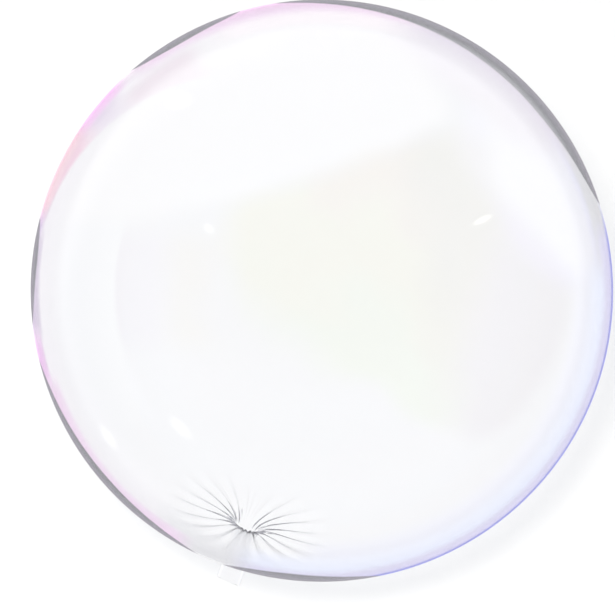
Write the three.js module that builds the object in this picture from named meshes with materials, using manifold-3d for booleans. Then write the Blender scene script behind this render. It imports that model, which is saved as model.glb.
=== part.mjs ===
// A clear stretch-film bubble balloon, lying on its side: a round bubble blown from one bag
// of film, whose end is gathered into a neck and welded flat as a short filling tail.
// Millimetres, +Z up. The origin is the middle of the small flat on which the bubble rests.
import * as THREE from "three";
import { mergeVertices } from "three/addons/utils/BufferGeometryUtils.js";
import Module from "manifold-3d";

// Driving dimensions
const bubbleRadius = 280;
const restSpotRadius = 38; // the film flattens this far out where it presses on the floor
const neckDrop = THREE.MathUtils.degToRad(50); // the neck points this far below the horizon

const gatherAngle = THREE.MathUtils.degToRad(10); // round the neck, where film leaves the sphere
const flareLength = 16; // from the sphere's own surface to the start of the flat tail
const flareFullness = 0.55; // how long the film keeps the sphere's slope, as a share of its way in
const neckTurn = 0.8; // how long it keeps the tail's slope, as a share of flareLength
const pleatCount = 20;
const pleatHeight = 1.3;
const pleatFullAngle = THREE.MathUtils.degToRad(7); // the pleats have their full height up to here
const pleatEndAngle = THREE.MathUtils.degToRad(20); // and have faded into the bubble by here

const tailLength = 60;
const tailWidth = 25;
const weldWidth = 3; // the band welded along each edge of the tail
const weldThickness = 0.7;
const channelThickness = 2.2; // across both films, where some air is left between the welds
const channelFlat = 6; // half the width over which the channel's faces are flat
const tailBendStart = 34; // the tail is straight up to here
const tailBend = THREE.MathUtils.degToRad(16); // and its end turns up this much off the floor

// How finely the film is divided
const sidesAround = 80;
const bubbleRings = 38;
const flareRings = 8;
const tailRings = 9;

const centreHeight = Math.sqrt(bubbleRadius ** 2 - restSpotRadius ** 2);
const tailStart = bubbleRadius + flareLength;

const wasm = await Module();
wasm.setup();

// The film's profile, as Vector2(distance from the neck's axis, distance along it from the
// bubble's centre), from the far side of the bubble to the end of the tail.
function filmProfile() {
  const gatherPoint = new THREE.Vector2(
    bubbleRadius * Math.sin(gatherAngle),
    bubbleRadius * Math.cos(gatherAngle),
  );
  const sphere = new THREE.EllipseCurve(
    0, 0, bubbleRadius, bubbleRadius, -Math.PI / 2, Math.PI / 2 - gatherAngle,
  );
  const handle = gatherPoint.x * flareFullness;
  const flare = new THREE.CubicBezierCurve(
    gatherPoint,
    new THREE.Vector2(
      gatherPoint.x - handle * Math.cos(gatherAngle),
      gatherPoint.y + handle * Math.sin(gatherAngle),
    ),
    new THREE.Vector2(tailWidth / 2, tailStart - flareLength * neckTurn),
    new THREE.Vector2(tailWidth / 2, tailStart),
  );
  const tail = new THREE.LineCurve(
    new THREE.Vector2(tailWidth / 2, tailStart),
    new THREE.Vector2(tailWidth / 2, tailStart + tailLength),
  );
  const points = [
    ...sphere.getPoints(bubbleRings),
    ...flare.getPoints(flareRings).slice(1),
    ...tail.getPoints(tailRings).slice(1),
  ];
  points[0].x = 0;
  points.push(new THREE.Vector2(0, tailStart + tailLength));
  return points;
}

// Half the tail's thickness at a distance from its middle line: a flat channel between welds.
function halfThickness(across) {
  const weldEdge = tailWidth / 2 - weldWidth;
  const share = THREE.MathUtils.clamp((weldEdge - across) / (weldEdge - channelFlat), 0, 1);
  return THREE.MathUtils.lerp(weldThickness, channelThickness, share) / 2;
}

// Presses a round section flat, from the gather on, until it is the tail's own section.
function pressFlat(point) {
  const radius = Math.hypot(point.x, point.z);
  const gatherHeight = bubbleRadius * Math.cos(gatherAngle);
  if (point.y <= gatherHeight || radius === 0) return;
  const pressed = THREE.MathUtils.smoothstep(point.y, gatherHeight, tailStart);
  const sine = point.z / radius;
  const onEdge = Math.abs(sine) < 1e-6;
  const flat = onEdge ? 0 : Math.sign(sine) * halfThickness(Math.abs(point.x));
  point.z = THREE.MathUtils.lerp(point.z, flat, pressed);
}

// Pleats where the film is gathered: strongest at the gather, and gone in the bubble and tail.
function pleat(point) {
  const radius = Math.hypot(point.x, point.z);
  if (radius === 0 || point.y < 0 || point.y >= tailStart) return;
  const angle = Math.atan2(radius, point.y);
  const onBubble = 1 - THREE.MathUtils.smoothstep(angle, pleatFullAngle, pleatEndAngle);
  const onNeck = 1 - THREE.MathUtils.smoothstep(point.y, bubbleRadius, tailStart);
  const turn = Math.atan2(point.z, point.x);
  point.addScaledVector(
    point.clone().normalize(),
    pleatHeight * onBubble * onNeck * Math.cos(pleatCount * turn),
  );
}

// Curves the end of the tail, keeping its length. Positive z is the tail's upper face.
function bendTail(point) {
  const along = point.y - tailStart - tailBendStart;
  if (along <= 0) return;
  const radius = (tailLength - tailBendStart) / tailBend;
  const turn = along / radius;
  const height = point.z;
  point.y = tailStart + tailBendStart + (radius - height) * Math.sin(turn);
  point.z = radius - (radius - height) * Math.cos(turn);
}

// A closed geometry with merged vertices, as a solid that can be cut.
function solidFrom(geometry) {
  const bare = geometry.clone();
  bare.deleteAttribute("normal");
  bare.deleteAttribute("uv");
  const merged = mergeVertices(bare, 1e-4);
  return new wasm.Manifold(
    new wasm.Mesh({
      numProp: 3,
      vertProperties: merged.attributes.position.array,
      triVerts: new Uint32Array(merged.index.array),
    }),
  );
}

function geometryFrom(solid) {
  const mesh = solid.getMesh();
  const geometry = new THREE.BufferGeometry();
  geometry.setAttribute("position", new THREE.BufferAttribute(mesh.vertProperties, 3));
  geometry.setIndex(new THREE.BufferAttribute(mesh.triVerts, 1));
  geometry.computeVertexNormals();
  return geometry;
}

// The bubble with its neck and tail, standing on its far side with the neck up along +Y.
function filmGeometry() {
  const geometry = new THREE.LatheGeometry(filmProfile(), sidesAround);
  const position = geometry.getAttribute("position");
  const point = new THREE.Vector3();
  for (let i = 0; i < position.count; i++) {
    point.fromBufferAttribute(position, i);
    pleat(point);
    pressFlat(point);
    bendTail(point);
    position.setXYZ(i, point.x, point.y, point.z);
  }
  return geometry;
}

// The film laid down: its neck points towards -Y and neckDrop below the horizon, and the
// tail's upper face looks up. The bubble ends flat where it meets the floor.
function balloon() {
  const film = filmGeometry();
  film.rotateX(-neckDrop);
  film.rotateZ(Math.PI);
  film.translate(0, 0, centreHeight);
  const floor = new THREE.BoxGeometry(bubbleRadius, bubbleRadius, bubbleRadius);
  floor.translate(0, 0, -bubbleRadius / 2);
  const mesh = new THREE.Mesh(
    geometryFrom(solidFrom(film).subtract(solidFrom(floor))),
    new THREE.MeshStandardMaterial({
      color: 0xf3f5fb,
      roughness: 0.04,
      metalness: 0,
      transparent: true,
      opacity: 0.3,
    }),
  );
  mesh.name = "balloon";
  return mesh;
}

const part = new THREE.Group();
part.add(balloon());

export default part;
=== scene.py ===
"""A clear bubble balloon lying on a pale floor, seen from above.

The film is one closed mesh: its outer face, its inner face a film's thickness inside it, and the
open mouth of the tail where the two meet. Metres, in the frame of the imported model.
"""

import math
import random
from collections import namedtuple
from functools import partial

import bpy
import numpy as np
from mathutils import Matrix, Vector


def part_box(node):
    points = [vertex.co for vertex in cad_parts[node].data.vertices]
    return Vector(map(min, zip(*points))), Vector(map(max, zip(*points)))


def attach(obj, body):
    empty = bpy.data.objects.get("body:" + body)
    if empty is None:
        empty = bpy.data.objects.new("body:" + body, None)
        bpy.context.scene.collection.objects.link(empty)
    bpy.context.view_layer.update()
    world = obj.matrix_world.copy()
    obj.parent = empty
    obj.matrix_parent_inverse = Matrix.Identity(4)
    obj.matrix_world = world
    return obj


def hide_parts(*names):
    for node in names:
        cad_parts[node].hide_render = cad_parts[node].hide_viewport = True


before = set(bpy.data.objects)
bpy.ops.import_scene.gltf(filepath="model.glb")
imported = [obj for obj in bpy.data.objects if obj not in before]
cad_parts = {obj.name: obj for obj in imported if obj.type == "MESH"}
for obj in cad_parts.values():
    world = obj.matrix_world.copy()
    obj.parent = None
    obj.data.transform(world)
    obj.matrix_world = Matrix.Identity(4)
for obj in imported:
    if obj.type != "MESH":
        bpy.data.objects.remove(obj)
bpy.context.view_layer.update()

# The balloon's dimensions, as in the solid that it replaces
BOX_LOW, BOX_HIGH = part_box("balloon")
BUBBLE_RADIUS = (BOX_HIGH.x - BOX_LOW.x) / 2
CENTRE = Vector((0, 0, BOX_HIGH.z - BUBBLE_RADIUS))
NECK_DROP = math.radians(50)
GATHER_ANGLE = math.radians(10)
FLARE_LENGTH = 0.016
FLARE_FULLNESS = 0.55
NECK_TURN = 0.8
TAIL_LENGTH = 0.060
TAIL_WIDTH = 0.025
WELD_WIDTH = 0.003
WELD_THICKNESS = 0.0007
CHANNEL_THICKNESS = 0.0022
CHANNEL_FLAT = 0.006
TAIL_BEND_START = 0.034
TAIL_BEND = math.radians(16)
PLEAT_COUNT = 20
PLEAT_HEIGHT = 0.0013
PLEAT_FULL_ANGLE = math.radians(7)
PLEAT_END_ANGLE = math.radians(20)
FILM = 0.00025

# Small unevenness that the solid doesn't have
SEED = 11
FINE_PLEAT_COUNTS = (31, 43, 57)
FINE_PLEAT_HEIGHT = 0.00022
LONG_WAVES = (2.2, 3.1, 4.3, 5.6)  # radians of wave from the bubble's middle to its surface
LONG_WAVE_HEIGHT = 0.0005
REST_SOFTNESS = 0.0010  # within this height, the film bends into its flat rest spot

# How finely the film is divided
SIDES = 176
BUBBLE_RINGS = 84
PLEATED_RINGS = 30
FLARE_RINGS = 18
TAIL_RINGS = 66

# The photograph's frame, and where the bubble is in it
PICTURE = 615
BUBBLE_PIXEL = (322.1, 290.9)
BUBBLE_PIXEL_RADIUS = 291.3
VIEW_AZIMUTH = math.radians(25)
VIEW_ELEVATION = math.radians(66)
LENS = 135
SENSOR = 36


def rig_axes():
    """The right, up and forward directions of the photograph's view."""
    sin_a, cos_a = math.sin(VIEW_AZIMUTH), math.cos(VIEW_AZIMUTH)
    sin_e, cos_e = math.sin(VIEW_ELEVATION), math.cos(VIEW_ELEVATION)
    right = Vector((cos_a, sin_a, 0))
    forward = Vector((-sin_a * cos_e, cos_a * cos_e, -sin_e))
    return right, right.cross(forward), forward


RIGHT, UP, FORWARD = rig_axes()
HALF_ANGLE = math.atan(BUBBLE_PIXEL_RADIUS / PICTURE * SENSOR / LENS)


def camera_place():
    return CENTRE - FORWARD * (BUBBLE_RADIUS / math.sin(HALF_ANGLE))


def smoothstep(value, low, high):
    share = np.clip((value - low) / (high - low), 0, 1)
    return share * share * (3 - 2 * share)


# The film


def bezier(a, b, c, d, count):
    t = np.linspace(0, 1, count + 1)[1:, None]
    s = 1 - t
    return s**3 * a + 3 * s * s * t * b + 3 * s * t * t * c + t**3 * d


def film_profile(inset):
    """Points (distance from the neck's axis, distance along it), from the far side to the tail's
    mouth. The tail's air channel ends at the welds, so inside it is narrower."""
    radius = BUBBLE_RADIUS - inset
    half_width = TAIL_WIDTH / 2 - (WELD_WIDTH if inset else 0)
    tail_start = BUBBLE_RADIUS + FLARE_LENGTH
    pleats_from = math.pi - PLEAT_END_ANGLE
    gathered = math.pi - GATHER_ANGLE
    turns = np.concatenate([
        np.linspace(0, pleats_from, BUBBLE_RINGS, endpoint=False),
        np.linspace(pleats_from, gathered, PLEATED_RINGS + 1),
    ])
    sphere = np.stack([radius * np.sin(turns), -radius * np.cos(turns)], axis=1)
    start = sphere[-1]
    handle = start[0] * FLARE_FULLNESS
    flare = bezier(
        start,
        start + handle * np.array([-math.cos(GATHER_ANGLE), math.sin(GATHER_ANGLE)]),
        np.array([half_width, tail_start - FLARE_LENGTH * NECK_TURN]),
        np.array([half_width, tail_start]),
        FLARE_RINGS,
    )
    tail = np.stack([
        np.full(TAIL_RINGS, half_width),
        tail_start + TAIL_LENGTH * np.arange(1, TAIL_RINGS + 1) / TAIL_RINGS,
    ], axis=1)
    return np.concatenate([sphere, flare, tail])


def tail_half_thickness(across, inset):
    """Half the tail's thickness at a distance from its middle line, for a face this far inside."""
    weld_edge = TAIL_WIDTH / 2 - WELD_WIDTH
    share = np.clip((weld_edge - np.abs(across)) / (weld_edge - CHANNEL_FLAT), 0, 1)
    thickness = WELD_THICKNESS + (CHANNEL_THICKNESS - WELD_THICKNESS) * share
    return thickness / 2 - inset


def pleat_heights(turn, rng):
    """The gathered film's height round the neck: the main pleats, and finer uneven ones."""
    height = PLEAT_HEIGHT * np.cos(PLEAT_COUNT * turn)
    for count in FINE_PLEAT_COUNTS:
        height += FINE_PLEAT_HEIGHT * np.cos(count * turn + rng.uniform(0, 2 * math.pi))
    return height


def out_of_round(direction, rng):
    """How far the blown bubble stands off a true sphere: long soft waves, a fraction of a mm."""
    height = np.zeros(direction.shape[:-1])
    for waves in LONG_WAVES:
        axis = np.array([rng.gauss(0, 1) for _ in range(3)])
        axis /= np.linalg.norm(axis)
        phase = waves * direction @ axis + rng.uniform(0, 2 * math.pi)
        height += LONG_WAVE_HEIGHT / waves * np.sin(phase)
    return height


def film_face(inset):
    """One face of the film as a grid of points, rings by sides, lying on the floor."""
    rng = random.Random(SEED)
    profile = film_profile(inset)
    tail_start = BUBBLE_RADIUS + FLARE_LENGTH
    gather_height = BUBBLE_RADIUS * math.cos(GATHER_ANGLE)
    turn = np.linspace(0, 2 * math.pi, SIDES, endpoint=False) + math.pi / SIDES
    across, along = profile[:, 0, None], np.repeat(profile[:, 1, None], SIDES, axis=1)
    point = np.stack([across * np.cos(turn), along, across * np.sin(turn)], axis=-1)

    radial = point / np.maximum(np.linalg.norm(point, axis=-1, keepdims=True), 1e-9)
    angle = np.arctan2(np.repeat(across, SIDES, axis=1), along)
    on_bubble = 1 - smoothstep(angle, PLEAT_FULL_ANGLE, PLEAT_END_ANGLE)
    on_neck = 1 - smoothstep(along, BUBBLE_RADIUS, tail_start)
    off_neck = smoothstep(angle, GATHER_ANGLE, PLEAT_END_ANGLE)
    height = on_bubble * on_neck * pleat_heights(turn, rng)
    height += off_neck * out_of_round(radial, rng)
    point = point + radial * height[..., None]

    pressed = smoothstep(along, gather_height, tail_start)
    flat = np.sign(np.sin(turn)) * tail_half_thickness(point[..., 0], inset)
    point[..., 2] += (flat - point[..., 2]) * pressed

    bend_radius = (TAIL_LENGTH - TAIL_BEND_START) / TAIL_BEND
    bend_from = tail_start + TAIL_BEND_START
    bent = np.maximum(along - bend_from, 0) / bend_radius
    bends = along > bend_from
    thick = point[..., 2].copy()
    point[..., 1] = np.where(bends, bend_from + (bend_radius - thick) * np.sin(bent), point[..., 1])
    point[..., 2] = np.where(bends, bend_radius - (bend_radius - thick) * np.cos(bent), thick)
    return laid_down(point, inset)


def laid_down(point, inset):
    """Turns the neck towards -Y and down, and flattens the film softly where it meets the floor."""
    sin_d, cos_d = math.sin(NECK_DROP), math.cos(NECK_DROP)
    x, y, z = -point[..., 0], point[..., 1], point[..., 2]
    placed = np.stack([x, -(y * cos_d + z * sin_d), z * cos_d - y * sin_d + CENTRE.z], axis=-1)
    height = placed[..., 2] - inset
    soft = (height + REST_SOFTNESS) ** 2 / (4 * REST_SOFTNESS)
    resting = np.where(height < -REST_SOFTNESS, 0, soft)
    placed[..., 2] = np.where(height < REST_SOFTNESS, resting, height) + inset
    return placed


def film_mesh():
    """The two faces as one closed mesh, joined round the tail's mouth."""
    faces_out, faces_in = film_face(0), film_face(FILM)
    rings = faces_out.shape[0]
    vertices, faces = [], []
    for grid in (faces_out, faces_in):
        vertices.append(grid[0].mean(axis=0)[None])
        vertices.append(grid[1:].reshape(-1, 3))
    size = 1 + (rings - 1) * SIDES

    def index(face, ring, side):
        return face * size + 1 + (ring - 1) * SIDES + side % SIDES

    for side in range(SIDES):
        faces.append((0, index(0, 1, side), index(0, 1, side + 1)))
        faces.append((size, index(1, 1, side + 1), index(1, 1, side)))
        for ring in range(1, rings - 1):
            quad = [(ring, side), (ring + 1, side), (ring + 1, side + 1), (ring, side + 1)]
            faces.append(tuple(index(0, r, s) for r, s in quad))
            faces.append(tuple(index(1, r, s) for r, s in reversed(quad)))
        last = rings - 1
        faces.append((
            index(0, last, side + 1), index(0, last, side),
            index(1, last, side), index(1, last, side + 1),
        ))
    mesh = bpy.data.meshes.new("bubble_film")
    mesh.from_pydata(np.concatenate(vertices).tolist(), [], faces)
    mesh.validate()
    mesh.shade_smooth()
    return mesh


# Helpers for shader nodes


def feed(tree, socket, value):
    if isinstance(value, bpy.types.NodeSocket):
        tree.links.new(value, socket)
    else:
        socket.default_value = value


def feed_colour(tree, socket, colour):
    feed(tree, socket, (*colour, 1) if isinstance(colour, tuple) else colour)


def math_node(tree, operation, *values):
    node = tree.nodes.new("ShaderNodeMath")
    node.operation = operation
    for socket, value in zip(node.inputs, values):
        feed(tree, socket, value)
    return node.outputs[0]


def step_node(tree, value, low, high, to_low=0.0, to_high=1.0):
    """A smooth step, from to_low below low to to_high above high."""
    node = tree.nodes.new("ShaderNodeMapRange")
    node.interpolation_type = "SMOOTHSTEP"
    for name, given in (("Value", value), ("From Min", low), ("From Max", high)):
        feed(tree, node.inputs[name], given)
    node.inputs["To Min"].default_value = to_low
    node.inputs["To Max"].default_value = to_high
    return node.outputs["Result"]


def fall_node(tree, value, low, high):
    """A smooth step the other way, from 1 to 0."""
    return step_node(tree, value, low, high, 1.0, 0.0)


def mix_node(tree, factor, first, second):
    """The first colour at factor 0, and the second at 1."""
    node = tree.nodes.new("ShaderNodeMix")
    node.data_type = "RGBA"
    feed(tree, node.inputs["Factor"], factor)
    feed_colour(tree, node.inputs[6], first)
    feed_colour(tree, node.inputs[7], second)
    return node.outputs[2]


def less_nodes(tree, values, point):
    """Each value less the point's."""
    return [math_node(tree, "SUBTRACT", value, at) for value, at in zip(values, point)]


def length_node(tree, x, y):
    """The length of (x, y)."""
    squares = [math_node(tree, "MULTIPLY", value, value) for value in (x, y)]
    return math_node(tree, "SQRT", math_node(tree, "ADD", *squares))


def blend_node(tree, first, first_share, second, second_share):
    """The sum of two values, each times its share."""
    return math_node(
        tree, "ADD",
        math_node(tree, "MULTIPLY", first, first_share),
        math_node(tree, "MULTIPLY", second, second_share),
    )


def product_node(tree, first, *others):
    for other in others:
        first = math_node(tree, "MULTIPLY", first, other)
    return first


def dot_node(tree, vector, axis):
    node = tree.nodes.new("ShaderNodeVectorMath")
    node.operation = "DOT_PRODUCT"
    feed(tree, node.inputs[0], vector)
    node.inputs[1].default_value = axis
    return node.outputs["Value"]


def noise_node(tree, place, scale, detail):
    node = tree.nodes.new("ShaderNodeTexNoise")
    feed(tree, node.inputs["Vector"], place)
    node.inputs["Scale"].default_value = scale
    node.inputs["Detail"].default_value = detail
    return node


def before_matt_node(tree, paths):
    """1 on a path that met no matt surface on its way to the camera."""
    return math_node(tree, "LESS_THAN", paths["Diffuse Depth"], 0.5)


def reflected_node(tree, paths):
    """1 on a path that the film reflected on its way to the camera, before any matt surface."""
    glossy = math_node(tree, "GREATER_THAN", paths["Glossy Depth"], 0.5)
    return product_node(tree, glossy, before_matt_node(tree, paths))


def mixed_shader(tree, shader, layers):
    """A shader with others mixed over it, each by its factor."""
    for factor, other in layers:
        mix = tree.nodes.new("ShaderNodeMixShader")
        feed(tree, mix.inputs[0], factor)
        tree.links.new(shader.outputs[0], mix.inputs[1])
        tree.links.new(other.outputs[0], mix.inputs[2])
        shader = mix
    return shader


def plain_shader(tree, kind, colour):
    node = tree.nodes.new(kind)
    feed_colour(tree, node.inputs["Color"], colour)
    return node


def new_material(name):
    """A material that has no nodes yet, and its node tree."""
    material = bpy.data.materials.new(name)
    material.use_nodes = True
    tree = material.node_tree
    tree.nodes.clear()
    return material, tree


def give_surface(tree, shader):
    output = tree.nodes.new("ShaderNodeOutputMaterial")
    tree.links.new(shader.outputs[0], output.inputs["Surface"])


# The studio: a room that is bright below, grey at the sides and dark above, with coloured cards and
# lamps in front of it. Cards and lamps are laid out by where the bubble shows them in the
# photograph's view. Distances there are from the bubble's middle, in bubble radii, and angles are
# in degrees, counter-clockwise from the right.

FLOOR_BELOW = (1.10, 1.10, 1.12)
FAR_FLOOR = (0.40, 0.40, 0.45)
WALLS = (0.40, 0.37, 0.46)
COOL_WALLS = (0.34, 0.40, 0.50)
CEILING = (0.08, 0.08, 0.10)
CUT = math.radians(248)  # where the angle starts over, out of the way of every card

# The cards
WHITE = (1.04, 1.00, 0.98)
STRIP = (1.14, 1.13, 1.34)
STRIP_FRINGE = (0.84, 0.81, 1.46)
SIDE_GLOW = (0.77, 0.81, 0.87)
GLOW = (1.36, 1.30, 1.36)
TOP_GLOW = (1.60, 1.40, 1.50)
PINK = (1.30, 0.94, 1.26)
BEIGE = (1.04, 0.66, 0.90)
ROSE = (1.26, 0.68, 0.92)
ORANGE_ROSE = (1.38, 0.96, 1.08)
PALE_PINK = (1.24, 0.82, 1.24)
MAGENTA = (1.38, 0.86, 1.34)
LAVENDER = (1.03, 0.80, 1.10)
LAVENDER_GREY = (0.68, 0.50, 0.72)
PALE_LAVENDER = (0.98, 0.84, 1.06)
PURPLE = (1.08, 0.88, 1.22)
LOWER_GLOW = (0.86, 0.89, 1.24)
BLUE = (1.00, 0.96, 1.30)
BLUE_LINE = (0.50, 0.52, 1.04)
PALE_BLUE = (1.16, 1.26, 1.62)

BACKDROP = (0.86, 0.86, 0.88)
DARK_BACKDROP = (0.34, 0.34, 0.38)
DARK = (0.03, 0.03, 0.04)
DARK_AT_RIM = (0.50, 0.48, 0.53)
LIGHT = (1.0, 1.0, 1.0)

# The soft box's lower edge: its y at the left, and from which x on it slants this much more
BOX_EDGE = 0.245
BOX_EDGE_RISES = ((-0.65, 0.20), (-0.33, 0.13), (0.25, 0.22))

# The strip light's left edge: its x where it is upright, and x + slope * y where it slants
STRIP_EDGE = 0.575
SLANTING_STRIP_EDGE = 0.915
STRIP_SLOPE = 0.93
FRINGE_WIDTH = 0.11

# The dark slivers: the angles at one end, at the widest place and at the other end, and how wide
SLIVERS = (
    (100, 40, 17, 0.041),
    (131, 120, 106, 0.024),
    (187, 174, 165, 0.0195),
    (245, 222, 193, 0.025),
    (282, 264, 250, 0.024),
)

# The lamps: where each shows, its half length and half width, its turn, and how bright it is
LAMPS = (
    ((0.553, 0.244), (0.028, 0.009), 28, 5.0),
    ((-0.390, 0.213), (0.020, 0.013), -40, 2.0),
    ((-0.493, 0.653), (0.034, 0.022), 10, 2.2),
    ((-0.486, -0.474), (0.040, 0.016), -45, 2.2),
    ((-0.733, -0.505), (0.040, 0.013), -55, 1.75),
)


# A place in the photograph's view of the bubble
Place = namedtuple("Place", "x y distance angle")


def room_colour(tree, direction):
    """The room behind the cards, by height, with faint pastel patches on its walls."""
    axes = tree.nodes.new("ShaderNodeSeparateXYZ")
    feed(tree, axes.inputs[0], direction)
    height = axes.outputs[2]
    noise = noise_node(tree, direction, 1.3, 1.0)
    pastel = step_node(tree, noise.outputs["Fac"], 0.38, 0.62)
    walls = mix_node(tree, pastel, WALLS, COOL_WALLS)
    floor = mix_node(tree, step_node(tree, height, -1.0, 0.0), FLOOR_BELOW, FAR_FLOOR)
    upper = mix_node(tree, step_node(tree, height, 0.30, 0.75), walls, CEILING)
    return mix_node(tree, step_node(tree, height, -0.02, 0.02), floor, upper)


def picture_place(tree, direction):
    """Where the bubble's near wall shows a direction. Its angle is in radians from CUT."""
    x, y, z = (dot_node(tree, direction, axis) for axis in (RIGHT, UP, FORWARD))
    # the film there faces half way between this direction and the camera
    double = math_node(tree, "MULTIPLY", math_node(tree, "SUBTRACT", 1.0, z), 2.0)
    spread = math_node(tree, "SQRT", double)
    flat = [math_node(tree, "DIVIDE", value, spread) for value in (x, y)]
    far = length_node(tree, *flat)
    # the camera is near enough for its rays to spread, which moves the place towards the rim
    half = math_node(tree, "MULTIPLY", far, HALF_ANGLE / 2)
    tilt = math_node(tree, "SUBTRACT", math_node(tree, "ARCCOSINE", far), half)
    distance = math_node(tree, "COSINE", math_node(tree, "MAXIMUM", tilt, 0.0))
    above_zero = math_node(tree, "MAXIMUM", far, 0.001)
    scale = math_node(tree, "DIVIDE", distance, above_zero)
    shown = [math_node(tree, "MULTIPLY", value, scale) for value in flat]
    turned = math_node(tree, "SUBTRACT", math_node(tree, "ARCTAN2", y, x), CUT)
    angle = math_node(tree, "FLOORED_MODULO", turned, 2 * math.pi)
    return Place(*shown, distance, angle)


def from_cut(degrees):
    """An angle in degrees from the right, as radians from CUT."""
    return (math.radians(degrees) - CUT) % (2 * math.pi)


def sliver(tree, place, first, widest, last, width):
    """A crescent along the rim between two angles, as wide as width at the widest one."""
    taper, bluntness, blur = 1.6, 0.7, 0.004
    start, middle, end = (from_cut(degrees) for degrees in (first, widest, last))
    offset = math_node(tree, "SUBTRACT", place.angle, middle)
    before = math_node(tree, "DIVIDE", offset, start - middle)
    after = math_node(tree, "DIVIDE", offset, end - middle)
    share = math_node(tree, "MINIMUM", math_node(tree, "MAXIMUM", before, after), 1.0)
    fullness = math_node(tree, "SUBTRACT", 1.0, math_node(tree, "POWER", share, taper))
    wide = math_node(tree, "MULTIPLY", math_node(tree, "POWER", fullness, bluntness), width)
    inside = math_node(tree, "SUBTRACT", math_node(tree, "ADD", place.distance, wide), 1.0)
    return step_node(tree, inside, 0.0, blur)


def band(tree, place, first, last, fade, rise, fall=None):
    """A band along the rim that fades at its ends. rise and fall are the distances between which
    it comes in and goes out."""
    start, end, fade = from_cut(first), from_cut(last), math.radians(fade)
    edges = [
        step_node(tree, place.angle, start, start + fade),
        fall_node(tree, place.angle, end - fade, end),
        step_node(tree, place.distance, *rise),
    ]
    if fall:
        edges.append(fall_node(tree, place.distance, *fall))
    return product_node(tree, *edges)


def outside_circle(tree, place, centre, radius, blur, first, last, fade):
    """The crescent that a circle off the bubble's middle leaves along the rim."""
    off = length_node(tree, *less_nodes(tree, (place.x, place.y), centre))
    outside = step_node(tree, off, radius - blur, radius + blur)
    return product_node(tree, outside, band(tree, place, first, last, fade, (0.70, 0.80)))


def spot(tree, place, at, size, turn):
    """A small lamp, longer than it is wide, turned by this many degrees."""
    blur = 0.7
    dx, dy = less_nodes(tree, (place.x, place.y), at)
    cosine, sine = math.cos(math.radians(turn)), math.sin(math.radians(turn))
    along = blend_node(tree, dx, cosine / size[0], dy, sine / size[0])
    across = blend_node(tree, dx, -sine / size[1], dy, cosine / size[1])
    return fall_node(tree, length_node(tree, along, across), 1 - blur, 1 + blur)


def above_box_edge(tree, x, y):
    """How far a point is above the soft box's lower edge, which rises ever more to the right."""
    above = math_node(tree, "SUBTRACT", y, BOX_EDGE)
    for start, slope in BOX_EDGE_RISES:
        along = math_node(tree, "MAXIMUM", math_node(tree, "SUBTRACT", x, start), 0.0)
        above = blend_node(tree, above, 1.0, along, -slope)
    return above


def soft_box(tree, place):
    """The big soft box over the top."""
    above = step_node(tree, above_box_edge(tree, place.x, place.y), -0.045, 0.045)
    left = fall_node(tree, blend_node(tree, place.x, 1.0, place.y, 0.25), 0.52, 0.66)
    inside = fall_node(tree, place.distance, 0.90, 0.95)
    return product_node(tree, above, left, inside)


def right_of_strip_edge(tree, x, y, blur, shift=0.0):
    """1 right of the strip light's edge, which runs straight down and then slants to the right.
    shift moves the edge to the left."""
    upright = step_node(tree, x, STRIP_EDGE - shift - blur, STRIP_EDGE - shift + blur)
    edge = SLANTING_STRIP_EDGE - shift
    across = blend_node(tree, x, 1.0, y, STRIP_SLOPE)
    slanting = step_node(tree, across, edge - blur, edge + blur)
    return product_node(tree, upright, slanting)


def strip_light(tree, place, shift=0.0):
    """The strip light down the right, between its edge and the rim."""
    right = right_of_strip_edge(tree, place.x, place.y, 0.055, shift)
    along_rim = band(tree, place, -4, 56, 12, (0.60, 0.70), (0.935, 0.965))
    return product_node(tree, right, along_rim)


def crescent_cards(tree, place):
    """The coloured crescent at the upper left: a card for each stretch of it."""
    crescent = outside_circle(tree, place, (-0.246, 0.009), 0.743, 0.008, 112, 178, 8)
    rim = partial(band, tree, place)
    cards = [
        (rim(114, 141, 8, (0.80, 0.84), (0.92, 0.97)), BEIGE),
        (rim(133, 150, 8, (0.80, 0.84)), LAVENDER),
        (rim(142, 168, 8, (0.80, 0.84)), ROSE),
        (rim(160, 178, 6, (0.80, 0.84)), PURPLE),
        (rim(131, 150, 6, (0.965, 0.984)), MAGENTA),
        (rim(143, 168, 7, (0.965, 0.984)), ORANGE_ROSE),
    ]
    return [(product_node(tree, crescent, mask), card) for mask, card in cards]


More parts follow.
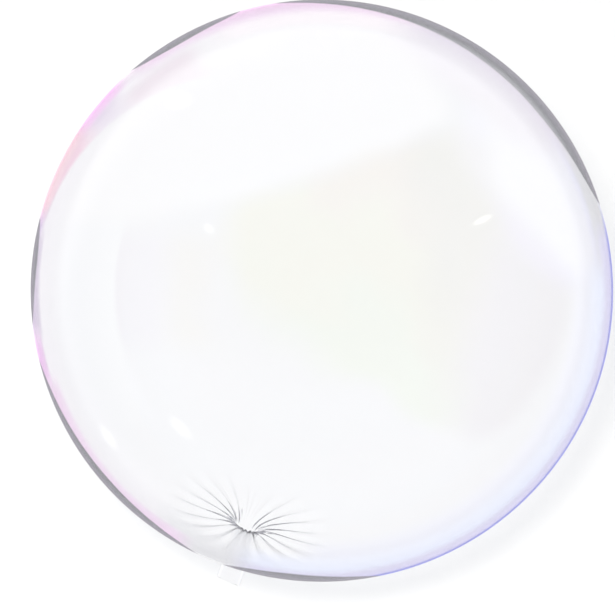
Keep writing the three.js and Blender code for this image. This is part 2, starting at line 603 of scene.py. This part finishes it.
def near_wall_colour(tree, place, room):
    """What the bubble's near wall reflects: the cards, in front of the room."""
    rim = partial(band, tree, place)
    cards = [
        # broad glows, the soft box and the strip light
        (rim(150, 222, 14, (0.700, 0.725)), SIDE_GLOW),
        (soft_box(tree, place), WHITE),
        (rim(60, 112, 10, (0.870, 0.910)), GLOW),
        (rim(96, 240, 10, (0.810, 0.960)), GLOW),
        (rim(56, 116, 10, (0.905, 0.930)), TOP_GLOW),
        (strip_light(tree, place, FRINGE_WIDTH), STRIP_FRINGE),
        (strip_light(tree, place), STRIP),
        # lavender inside the big dark sliver, and pink from there over the top
        (rim(30, 72, 14, (0.77, 0.87), (0.91, 0.95)), LAVENDER_GREY),
        (outside_circle(tree, place, (-0.06, -0.08), 0.965, 0.045, 24, 80, 14), PALE_LAVENDER),
        (rim(66, 134, 10, (0.945, 0.975)), PINK),
        (outside_circle(tree, place, (-0.10, -0.02), 0.955, 0.03, 108, 134, 8), PINK),
        *crescent_cards(tree, place),
        # a thin line down the left side, inside the slivers
        (rim(166, 192, 6, (0.966, 0.976)), PALE_LAVENDER),
        (rim(186, 202, 6, (0.972, 0.982)), PALE_PINK),
        (rim(196, 244, 6, (0.950, 0.968)), PINK),
        # blue round the lower right
        (rim(262, 366, 10, (0.84, 0.90)), LOWER_GLOW),
        (rim(250, 376, 8, (0.945, 0.975)), BLUE),
        (rim(250, 368, 8, (0.900, 0.938), (0.955, 0.980)), PALE_BLUE),
        (rim(270, 380, 12, (0.990, 0.997)), BLUE_LINE),
    ]
    colour = room
    for mask, card in cards:
        colour = mix_node(tree, mask, colour, card)
    dark = mix_node(tree, step_node(tree, place.distance, 0.974, 0.997), DARK, DARK_AT_RIM)
    for angles_and_width in SLIVERS:
        colour = mix_node(tree, sliver(tree, place, *angles_and_width), colour, dark)
    for at, size, turn, brightness in LAMPS:
        colour = mix_node(tree, spot(tree, place, at, size, turn), colour, (brightness,) * 3)
    return colour


def studio_world():
    """White as light, and a pale backdrop to the camera. Only what the film reflects shows the room
    and the cards, and what its far wall reflects shows the room and a dark backdrop."""
    world = bpy.data.worlds.new("studio")
    world.use_nodes = True
    world.cycles.sampling_method = "NONE"
    tree = world.node_tree
    tree.nodes.clear()
    direction = tree.nodes.new("ShaderNodeTexCoord").outputs["Generated"]
    paths = tree.nodes.new("ShaderNodeLightPath").outputs
    room = room_colour(tree, direction)
    place = picture_place(tree, direction)
    near_wall = near_wall_colour(tree, place, room)
    at_rim = step_node(tree, place.distance, 0.93, 0.965)
    far_wall = mix_node(tree, at_rim, room, DARK_BACKDROP)
    # what the near wall reflects passes two faces of film at most, and the rest four or more
    from_far = math_node(tree, "GREATER_THAN", paths["Transmission Depth"], 2.5)
    reflections = mix_node(tree, from_far, near_wall, far_wall)
    colour = mix_node(tree, before_matt_node(tree, paths), LIGHT, BACKDROP)
    colour = mix_node(tree, reflected_node(tree, paths), colour, reflections)
    background = tree.nodes.new("ShaderNodeBackground")
    feed(tree, background.inputs["Color"], colour)
    output = tree.nodes.new("ShaderNodeOutputWorld")
    tree.links.new(background.outputs[0], output.inputs[0])
    bpy.context.scene.world = world


# The floor and the key light

KEY_SHARE = 0.34  # of the light on the floor by the bubble. The white surround gives the rest
KEY_RADIUS = 0.16
KEY_ASIDE = 0.29  # from the camera
KEY_LEAN = 0.7  # how far to the camera's left the lamp is for each metre above it
FLOOR_BRIGHTNESS = 1.045  # by the bubble, under both lights
THROUGH_FILM = 1.062  # and as it shows through the film, which hides most of its own shadow
HIDDEN_SHADOW = 0.8  # the share of that shadow
HIDING = (0.5, 1.0)  # how far from the bubble's foot the hiding fades out
SWEEP = (0.8, 4.0)  # and how far from it the floor runs into the backdrop
FLOOR_HALF = 12.0
FLOOR_GAP = 0.0003  # between the floor and the bubble


def floor_material():
    """Plain pale paint that runs into the backdrop far off. Seen through the film near the bubble,
    it is mostly an even painted glow, which hides most of the film's shadow. What the film
    reflects to the camera passes it and meets the studio."""
    material, tree = new_material("pale_floor")
    paths = tree.nodes.new("ShaderNodeLightPath").outputs
    position = tree.nodes.new("ShaderNodeSeparateXYZ")
    feed(tree, position.inputs[0], tree.nodes.new("ShaderNodeTexCoord").outputs["Object"])
    far_off = length_node(tree, position.outputs[0], position.outputs[1])
    through = math_node(tree, "GREATER_THAN", paths["Transmission Depth"], 0.5)
    near_by = step_node(tree, far_off, *HIDING, HIDDEN_SHADOW, 0.0)
    hidden = product_node(tree, through, before_matt_node(tree, paths), near_by)
    paint = plain_shader(tree, "ShaderNodeBsdfDiffuse", (FLOOR_BRIGHTNESS * (1 - KEY_SHARE),) * 3)
    sweep = plain_shader(tree, "ShaderNodeEmission", BACKDROP)
    # painted light: an even glow in place of the lit paint
    glow = plain_shader(tree, "ShaderNodeEmission", (THROUGH_FILM,) * 3)
    clear = plain_shader(tree, "ShaderNodeBsdfTransparent", LIGHT)
    layers = [
        (step_node(tree, far_off, *SWEEP), sweep),
        (hidden, glow),
        (reflected_node(tree, paths), clear),
    ]
    give_surface(tree, mixed_shader(tree, paint, layers))
    return material


def add_floor():
    corners = [
        (x * FLOOR_HALF, y * FLOOR_HALF, -FLOOR_GAP) for x, y in ((-1, -1), (1, -1), (1, 1), (-1, 1))
    ]
    mesh = bpy.data.meshes.new("floor")
    mesh.from_pydata(corners, [], [(0, 1, 2, 3)])
    mesh.materials.append(floor_material())
    floor = bpy.data.objects.new("floor", mesh)
    bpy.context.scene.collection.objects.link(floor)


def add_key_light():
    """A soft lamp beside the camera, up and to its left, so the shadow falls to the lower right."""
    lamp = bpy.data.lights.new("key", "POINT")
    lamp.shadow_soft_size = KEY_RADIUS
    key = bpy.data.objects.new("key", lamp)
    key.location = camera_place() + (UP - RIGHT * KEY_LEAN).normalized() * KEY_ASIDE
    # with this power, the lamp would light the floor as much as the white surround does
    facing = -FORWARD.z
    to_floor = key.location.z / facing
    even_power = 4 * math.pi**2 * to_floor**2 / facing
    lamp.energy = even_power * KEY_SHARE / (1 - KEY_SHARE)
    lamp.cycles.use_multiple_importance_sampling = False
    bpy.context.scene.collection.objects.link(key)


# The film's material. Its tints are per wall, and light passes two walls.

PALE = (0.985, 0.986, 0.991)
# Colours of the cast, a painted reflection
YELLOW = (0.982, 0.982, 0.922)
ORANGE = (0.982, 0.952, 0.918)
GREEN = (0.964, 0.988, 0.932)
GREY = (0.948, 0.943, 0.914)
LILAC = (0.947, 0.935, 0.945)
# Colours of the cloud, a painted reflection
MAUVE = (0.972, 0.964, 0.980)
SAND = (0.980, 0.972, 0.954)
# Painted shade at the rim, where the film is seen edge on
PAINTED_EDGE_SHADE = (0.62, 0.62, 0.66)
FILM_IOR = 1.33

# What the film lets through of the key light, met face on and edge on
SHADE = (0.935, 0.938, 0.948)
SHADE_AT_EDGE = (0.72, 0.73, 0.76)


def facing_node(tree, power):
    """0 where the film is seen face on and 1 edge on, gathered at the edge by a power."""
    facing = tree.nodes.new("ShaderNodeLayerWeight").outputs["Facing"]
    return math_node(tree, "POWER", facing, power)


def from_centre(tree):
    """The place on the film from the bubble's centre, in bubble radii."""
    position = tree.nodes.new("ShaderNodeTexCoord").outputs["Object"]
    moved = tree.nodes.new("ShaderNodeVectorMath")
    moved.operation = "SUBTRACT"
    feed(tree, moved.inputs[0], position)
    moved.inputs[1].default_value = CENTRE
    scaled = tree.nodes.new("ShaderNodeVectorMath")
    scaled.operation = "SCALE"
    feed(tree, scaled.inputs[0], moved.outputs[0])
    scaled.inputs["Scale"].default_value = 1 / BUBBLE_RADIUS
    return scaled.outputs[0]


def as_seen(tree, x, y, z):
    """Where the photograph shows a place on the film, as x and y in bubble radii. z is how far the
    place is towards the camera from the bubble's centre."""
    away = math_node(tree, "SUBTRACT", 1 / math.sin(HALF_ANGLE), z)
    scale = math_node(tree, "DIVIDE", 1 / math.tan(HALF_ANGLE), away)
    return [math_node(tree, "MULTIPLY", value, scale) for value in (x, y)]


def painted_reflection_mask(tree, x, y, clouds):
    """1 in the coloured cast, a painted reflection: below where the soft box shows, left of where
    the strip light shows, and round at the right. Its lower left edge is a diagonal."""
    above = blend_node(tree, above_box_edge(tree, x, y), 1.0, clouds[0], 0.10)
    diagonal = blend_node(tree, blend_node(tree, x, 0.68, y, 0.73), 1.0, clouds[1], 0.20)
    above_end = blend_node(tree, y, 1.0, clouds[2], 0.30)
    above_end = blend_node(tree, above_end, 1.0, step_node(tree, x, 0.10, 0.40), 0.10)
    from_middle = length_node(tree, *less_nodes(tree, (x, y), (0.06, 0.12)))
    return product_node(
        tree,
        fall_node(tree, above, -0.08, 0.05),
        fall_node(tree, y, 0.46, 0.64),
        step_node(tree, diagonal, -0.30, -0.08),
        step_node(tree, x, -0.40, -0.24),
        math_node(tree, "SUBTRACT", 1.0, right_of_strip_edge(tree, x, y, 0.08)),
        step_node(tree, above_end, -0.44, -0.28),
        fall_node(tree, from_middle, 0.78, 0.86),
    )


def painted_reflection_colour(tree, x, y, clouds):
    """The colours of the painted reflection: the cast runs upwards from green over yellow to
    orange, and at the right it is grey, and lilac at its lower end."""
    rising = blend_node(tree, blend_node(tree, y, 0.8, x, 0.45), 1.0, clouds[2], 0.7)
    cast = mix_node(tree, step_node(tree, rising, -0.10, 0.12), GREEN, YELLOW)
    cast = mix_node(tree, step_node(tree, rising, 0.22, 0.40, 0.0, 0.8), cast, ORANGE)
    leaning = blend_node(tree, blend_node(tree, x, 1.0, y, 0.20), 1.0, clouds[1], 0.4)
    lower_right = step_node(tree, blend_node(tree, x, 1.0, y, -0.30), 0.46, 0.64)
    shade = mix_node(tree, lower_right, GREY, LILAC)
    return mix_node(tree, step_node(tree, leaning, 0.24, 0.48), cast, shade)


def painted_cloud_mask(tree, x, y, clouds):
    """1 in the cloud at the left, a painted reflection."""
    return product_node(
        tree,
        fall_node(tree, length_node(tree, x, y), 0.705, 0.720),
        fall_node(tree, blend_node(tree, x, 1.0, clouds[0], 0.4), -0.42, -0.24),
        fall_node(tree, math_node(tree, "ABSOLUTE", y), 0.12, 0.26),
    )


def tint_and_painted_light(tree):
    """The film's own faint colour, nearly clear, with painted reflections on the side of the
    photograph's view: a coloured cast and a mauve and sandy cloud. It is darker by painted shade
    where it is seen edge on. Noise makes the edges of the cast and the cloud uneven."""
    outward = from_centre(tree)
    channels = tree.nodes.new("ShaderNodeSeparateColor")
    feed(tree, channels.inputs[0], noise_node(tree, outward, 2.4, 2.0).outputs["Color"])
    clouds = [math_node(tree, "SUBTRACT", channel, 0.5) for channel in channels.outputs]
    x, y, z = (dot_node(tree, outward, axis) for axis in (RIGHT, UP, -FORWARD))
    near_side = step_node(tree, z, 0.50, 0.70)
    x, y = as_seen(tree, x, y, z)

    in_painted_cloud = product_node(tree, near_side, painted_cloud_mask(tree, x, y, clouds))
    cloud = mix_node(tree, step_node(tree, x, -0.60, -0.46), MAUVE, SAND)
    in_painted_reflection = product_node(tree, near_side, painted_reflection_mask(tree, x, y, clouds))
    tint_and_reflections = mix_node(tree, in_painted_cloud, PALE, cloud)
    tint_and_reflections = mix_node(tree, in_painted_reflection, tint_and_reflections, painted_reflection_colour(tree, x, y, clouds))

    # painted shade: darker where the film is seen edge on
    node = tree.nodes.new("ShaderNodeMix")
    node.data_type = "RGBA"
    node.blend_type = "MULTIPLY"
    node.inputs["Factor"].default_value = 1.0
    feed(tree, node.inputs[6], tint_and_reflections)
    feed(tree, node.inputs[7], mix_node(tree, facing_node(tree, 5.0), LIGHT, PAINTED_EDGE_SHADE))
    return node.outputs[2]


def film_material():
    """Clear plastic film. Light on its way to or from the floor goes straight through it."""
    material, tree = new_material("clear_film")
    film = tree.nodes.new("ShaderNodeBsdfPrincipled")
    feed(tree, film.inputs["Base Color"], tint_and_painted_light(tree))
    film.inputs["Roughness"].default_value = 0.0
    film.inputs["IOR"].default_value = FILM_IOR
    film.inputs["Transmission Weight"].default_value = 1.0
    shade_colour = mix_node(tree, facing_node(tree, 2.5), SHADE, SHADE_AT_EDGE)
    shade = plain_shader(tree, "ShaderNodeBsdfTransparent", shade_colour)
    straight = plain_shader(tree, "ShaderNodeBsdfTransparent", LIGHT)
    paths = tree.nodes.new("ShaderNodeLightPath").outputs
    layers = [(paths["Is Diffuse Ray"], straight), (paths["Is Shadow Ray"], shade)]
    give_surface(tree, mixed_shader(tree, film, layers))
    return material


def add_balloon():
    mesh = film_mesh()
    mesh.materials.append(film_material())
    balloon = bpy.data.objects.new("bubble_film", mesh)
    bpy.context.scene.collection.objects.link(balloon)
    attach(balloon, "root")
    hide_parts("balloon")


def add_camera():
    data = bpy.data.cameras.new("camera")
    data.lens = LENS
    data.sensor_width = SENSOR
    data.shift_x = (PICTURE / 2 - BUBBLE_PIXEL[0]) / PICTURE
    data.shift_y = (BUBBLE_PIXEL[1] - PICTURE / 2) / PICTURE
    camera = bpy.data.objects.new("camera", data)
    camera.location = camera_place()
    camera.rotation_euler = FORWARD.to_track_quat("-Z", "Y").to_euler()
    bpy.context.scene.collection.objects.link(camera)
    bpy.context.scene.camera = camera


add_balloon()
add_floor()
studio_world()
add_key_light()
add_camera()
bpy.context.scene.view_settings.view_transform = "Standard"
